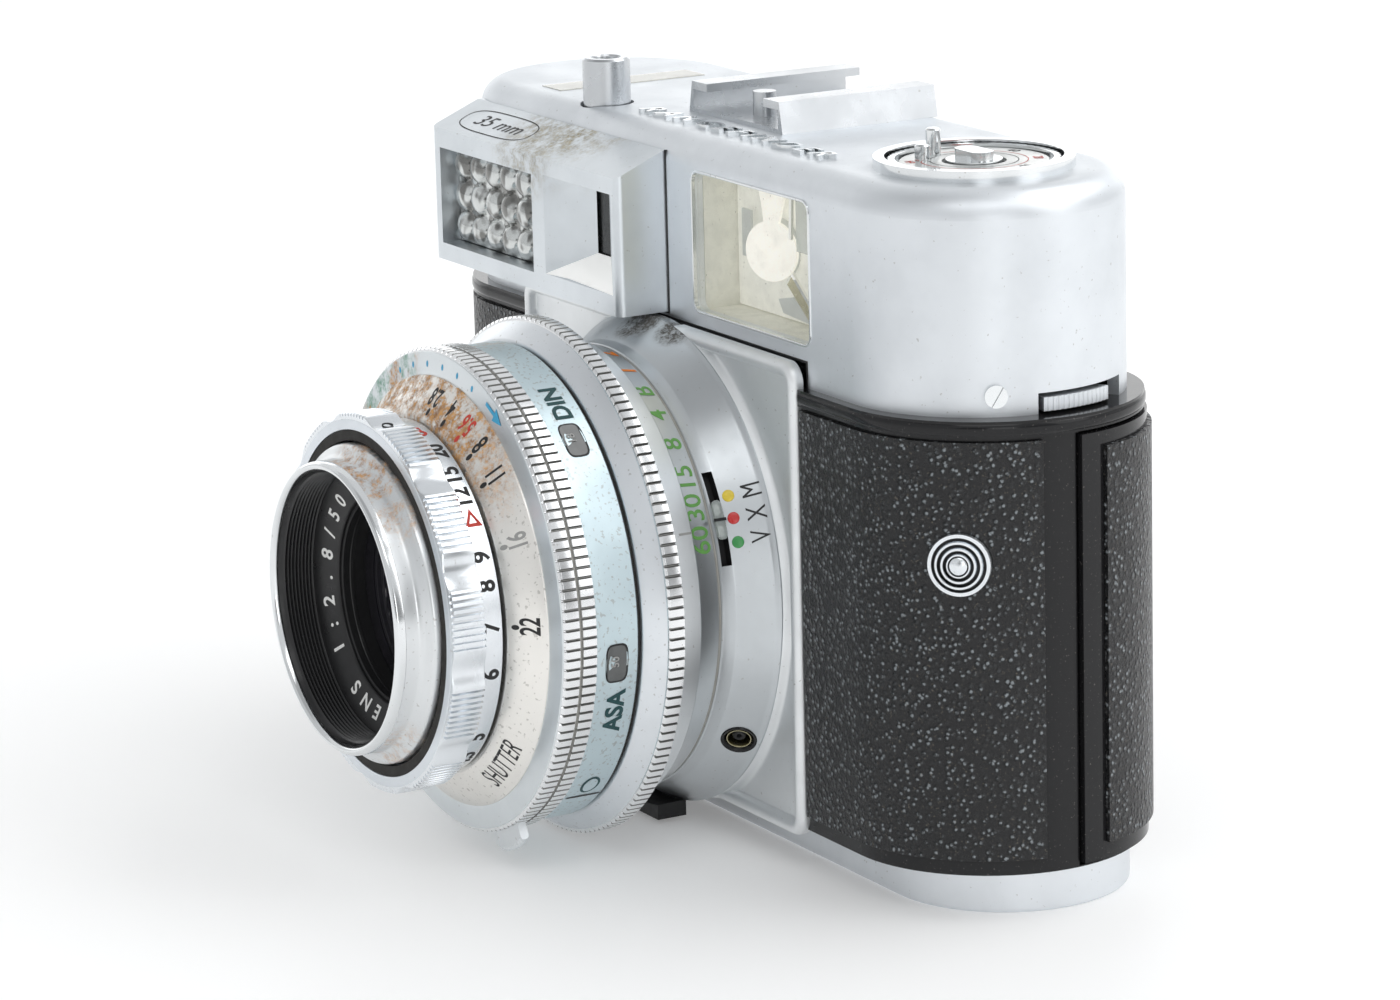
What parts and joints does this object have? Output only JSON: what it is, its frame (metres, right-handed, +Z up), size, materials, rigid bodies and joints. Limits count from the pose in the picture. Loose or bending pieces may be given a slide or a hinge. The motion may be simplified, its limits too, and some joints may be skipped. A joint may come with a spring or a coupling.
{
  "type": "35 mm rangefinder camera",
  "caption": "Compact 35 mm leaf-shutter rangefinder camera with a ringed lens barrel, light meter, viewfinder window, top shoe and hinged back.",
  "frame": {"origin": "middle of the whole camera's footprint, on the surface it stands on", "axes": "+X to the right seen from the front, +Y to the back, +Z up; the lens looks along -Y"},
  "size_m": [0.1184, 0.0788, 0.082],
  "materials": {
    "satin_chrome": "bead-blasted satin chrome plate",
    "polished_chrome": "polished plate",
    "ring_chrome": "satin plate with polished knurls",
    "scale_green": "pale blue-green satin plate",
    "black_enamel": "gloss black enamel",
    "leatherette": "coarse pebble grain",
    "black_alloy": "matt black anodised",
    "optical_glass": "coated glass",
    "window_glass": "faintly yellow glass",
    "cell_glass": "moulded lens honeycomb",
    "cell_plate": "dark selenium surface",
    "cream_card": "cream painted inside",
    "cream_window": "cream translucent",
    "mirror": "silvered",
    "steel": "bare steel",
    "brass": "turned brass",
    "black_plastic": "moulded black",
    "needle_black": "matt black",
    "printed_disc": "printed satin disc"
  },
  "bodies": {
    "camera": {"body_casting": "black_enamel", "front_leather_right": "leatherette", "front_leather_left": "leatherette", "strap_studs": "polished_chrome", "film_gate": "black_alloy", "base_plate": "satin_chrome", "tripod_bush": "steel", "hinge_pin": "steel", "mount_plate": "satin_chrome", "flash_socket": "brass", "flash_socket_core": "brass", "shutter_housing": "black_alloy", "rear_lens": "black_alloy", "counter_housing": "black_plastic", "top_housing": "satin_chrome", "meter_housing": "satin_chrome", "cell_window": "cell_glass", "meter_cell": "cell_plate", "rangefinder_window": "window_glass", "viewfinder_window": "window_glass", "finder_cage": "cream_card", "finder_mirror": "mirror", "beam_splitter": "optical_glass", "eyepiece_frame": "black_plastic", "eyepiece_glass": "window_glass", "accessory_shoe": "polished_chrome", "shoe_stop_pin": "polished_chrome", "meter_readout_window": "cream_window", "meter_scale_plate": "cream_card", "top_lettering": "polished_chrome", "dial_bezel": "polished_chrome", "housing_screws": "polished_chrome"},
    "latch": {"latch_key": "satin_chrome"},
    "door": {"back_door": "black_enamel", "door_leather": "leatherette", "pressure_plate": "black_alloy", "pressure_spring": "steel"},
    "sync_lever_body": {"sync_lever": "polished_chrome"},
    "speed_ring_body": {"speed_ring": "ring_chrome"},
    "film_speed_body": {"film_speed_ring": "scale_green"},
    "aperture_body": {"aperture_ring": "ring_chrome"},
    "focus_body": {"focus_ring": "ring_chrome", "groove_ring": "black_enamel"},
    "front_cell": {"front_barrel": "polished_chrome", "barrel_lining": "black_alloy", "front_lens": "optical_glass"},
    "advance_body": {"advance_lever": "satin_chrome"},
    "spool_body": {"takeup_spool": "black_plastic"},
    "sprocket_body": {"sprocket": "steel"},
    "rewind_shaft_body": {"rewind_shaft": "steel"},
    "rewind_knob_body": {"rewind_knob": "polished_chrome"},
    "reminder_body": {"reminder_disc": "printed_disc"},
    "button_body": {"release_button": "polished_chrome"},
    "release_body": {"rewind_release": "satin_chrome"},
    "needle_body": {"meter_needle": "needle_black"},
    "blade_1": {"aperture_blade_1": "steel"},
    "blade_2": {"aperture_blade_2": "steel"},
    "blade_3": {"aperture_blade_3": "steel"},
    "blade_4": {"aperture_blade_4": "steel"},
    "blade_5": {"aperture_blade_5": "steel"}
  },
  "joints": [
    {"name": "release_press", "type": "slide", "parent": "camera", "child": "button_body", "axis": [0, 0, -1], "range_m": [0, 0.002], "stiffness_N_per_m": 400, "springref_m": -0.0005},
    {"name": "advance_stroke", "type": "hinge", "parent": "camera", "child": "advance_body", "pos_m": [-0.03904, 0.01818, 0.058], "axis": [0, 0, 1], "range_deg": [0, 95], "stiffness_Nm_per_rad": 0.01, "springref_deg": -11.46},
    {"name": "spool_turn", "type": "hinge", "parent": "camera", "child": "spool_body", "pos_m": [-0.03904, 0.01818, 0.03], "axis": [0, 0, 1], "range_deg": [-220, 0]},
    {"name": "sprocket_turn", "type": "hinge", "parent": "camera", "child": "sprocket_body", "pos_m": [-0.02504, 0.02178, 0.03], "axis": [0, 0, 1], "range_deg": [-365, 0]},
    {"name": "rewind_spin", "type": "hinge", "parent": "camera", "child": "rewind_shaft_body", "pos_m": [0.04066, 0.01818, 0.06], "axis": [0, 0, 1], "continuous": true},
    {"name": "rewind_lift", "type": "slide", "parent": "rewind_shaft_body", "child": "rewind_knob_body", "axis": [0, 0, 1], "range_m": [0, 0.005]},
    {"name": "reminder_turn", "type": "hinge", "parent": "rewind_knob_body", "child": "reminder_body", "pos_m": [0.04066, 0.01818, 0.077], "axis": [0, 0, 1], "continuous": true},
    {"name": "rewind_release_slide", "type": "hinge", "parent": "camera", "child": "release_body", "pos_m": [0.04122, 0.01818, 0.0545], "axis": [0, 0, 1], "range_deg": [0, 12]},
    {"name": "door_swing", "type": "hinge", "parent": "camera", "child": "door", "pos_m": [-0.05754, 0.02268, 0.028], "axis": [0, 0, 1], "range_deg": [0, 105]},
    {"name": "latch_turn", "type": "hinge", "parent": "camera", "child": "latch", "pos_m": [0.03236, 0.01918, 0.001], "axis": [0, 0, 1], "range_deg": [0, 90]},
    {"name": "sync_select", "type": "hinge", "parent": "camera", "child": "sync_lever_body", "pos_m": [0.00136, 0.01818, 0.02914], "axis": [0, 1, 0], "range_deg": [-5.6, 5.6]},
    {"name": "speed_select", "type": "hinge", "parent": "camera", "child": "speed_ring_body", "pos_m": [0.00136, 0.01818, 0.02914], "axis": [0, 1, 0], "range_deg": [-60, 50]},
    {"name": "film_speed_set", "type": "hinge", "parent": "camera", "child": "film_speed_body", "pos_m": [0.00136, 0.01818, 0.02914], "axis": [0, 1, 0], "range_deg": [-50, 50]},
    {"name": "aperture_select", "type": "hinge", "parent": "camera", "child": "aperture_body", "pos_m": [0.00136, 0.01818, 0.02914], "axis": [0, 1, 0], "range_deg": [-45, 60]},
    {"name": "focus_turn", "type": "hinge", "parent": "camera", "child": "focus_body", "pos_m": [0.00136, 0.01818, 0.02914], "axis": [0, 1, 0], "range_deg": [-60, 180]},
    {"name": "focus_travel", "type": "slide", "parent": "camera", "child": "front_cell", "axis": [0, -1, 0], "range_m": [-0.00042, 0.00126]},
    {"name": "needle_swing", "type": "hinge", "parent": "camera", "child": "needle_body", "pos_m": [-0.02724, 0.01668, 0.0741], "axis": [0, 0, 1], "range_deg": [-25, 25]},
    {"name": "blade_swing_1", "type": "hinge", "parent": "camera", "child": "blade_1", "pos_m": [0.01636, -0.01982, 0.02914], "axis": [0, 1, 0], "range_deg": [-6, 8]},
    {"name": "blade_swing_2", "type": "hinge", "parent": "camera", "child": "blade_2", "pos_m": [0.00599, -0.01982, 0.04341], "axis": [0, 1, 0], "range_deg": [-6, 8]},
    {"name": "blade_swing_3", "type": "hinge", "parent": "camera", "child": "blade_3", "pos_m": [-0.01078, -0.01982, 0.03796], "axis": [0, 1, 0], "range_deg": [-6, 8]},
    {"name": "blade_swing_4", "type": "hinge", "parent": "camera", "child": "blade_4", "pos_m": [-0.01078, -0.01982, 0.02032], "axis": [0, 1, 0], "range_deg": [-6, 8]},
    {"name": "blade_swing_5", "type": "hinge", "parent": "camera", "child": "blade_5", "pos_m": [0.00599, -0.01982, 0.01487], "axis": [0, 1, 0], "range_deg": [-6, 8]}
  ],
  "couplings": [
    {"joint": "spool_turn", "follows": "advance_stroke", "ratio": -2.2},
    {"joint": "sprocket_turn", "follows": "advance_stroke", "ratio": -3.75},
    {"joint": "focus_turn", "follows": "focus_travel", "rad_per_m": 2500},
    {"joint": "blade_swing_1", "follows": "aperture_select", "ratio": 0.12},
    {"joint": "blade_swing_2", "follows": "aperture_select", "ratio": 0.12},
    {"joint": "blade_swing_3", "follows": "aperture_select", "ratio": 0.12},
    {"joint": "blade_swing_4", "follows": "aperture_select", "ratio": 0.12},
    {"joint": "blade_swing_5", "follows": "aperture_select", "ratio": 0.12}
  ]
}
